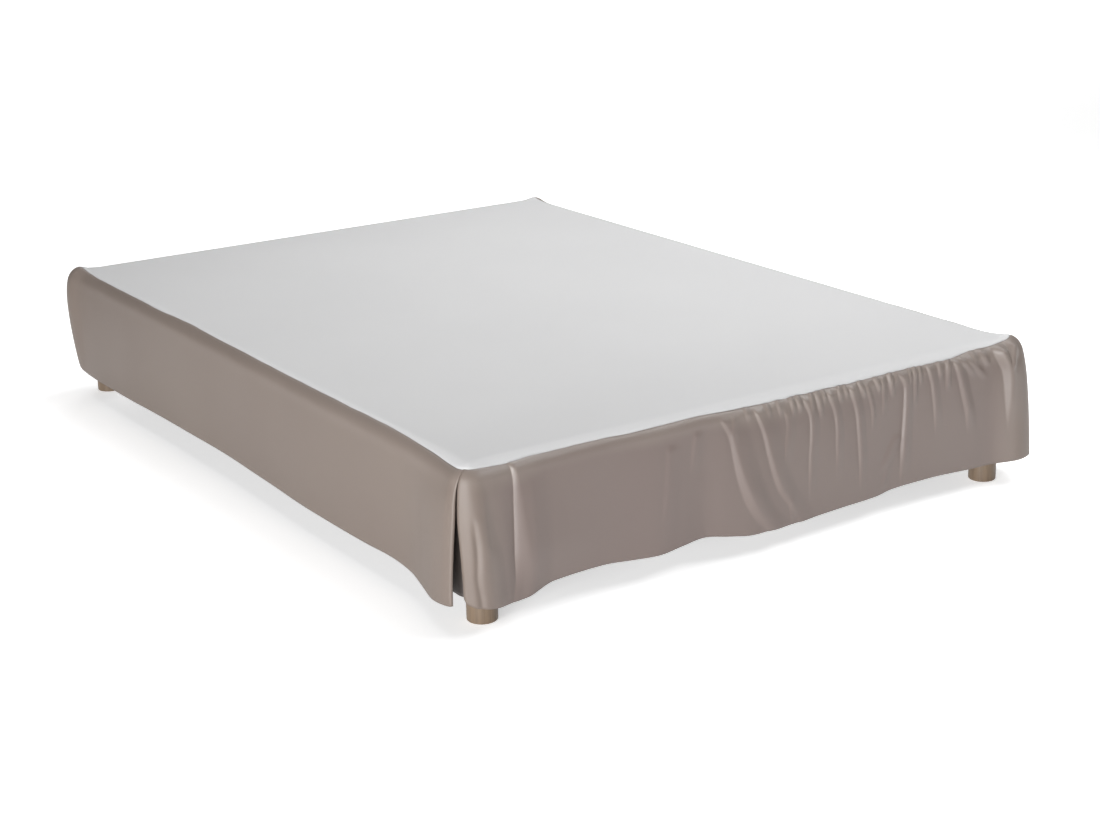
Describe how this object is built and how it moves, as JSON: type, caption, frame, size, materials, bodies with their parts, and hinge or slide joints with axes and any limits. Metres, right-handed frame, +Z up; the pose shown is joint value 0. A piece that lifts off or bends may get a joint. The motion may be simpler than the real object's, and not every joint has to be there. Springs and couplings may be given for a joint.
{
  "type": "bed skirt on a bed base",
  "caption": "Fitted cloth bed skirt with a pale platform and taupe drops on the sides and foot, draped over a plain upholstered bed base on round wooden feet.",
  "frame": {"origin": "on the floor, under the middle of the bed base", "axes": "+Z up, +Y from the foot end to the head end, +X to the right as seen from the foot end"},
  "size_m": [1.493, 1.977, 0.3284],
  "materials": {
    "base_cover": "plain woven ticking",
    "leg_wood": "clear satin",
    "platform_cloth": "smooth pale grey cloth",
    "drop_cloth": "smooth taupe plain weave"
  },
  "bodies": {
    "root": {"base_box": "base_cover", "leg_foot_left": "leg_wood", "leg_foot_right": "leg_wood", "leg_head_left": "leg_wood", "leg_head_right": "leg_wood", "platform": "platform_cloth", "drop_foot": "drop_cloth", "drop_left": "drop_cloth", "drop_right": "drop_cloth", "corner_insert_left": "drop_cloth", "corner_insert_right": "drop_cloth"}
  },
  "joints": []
}
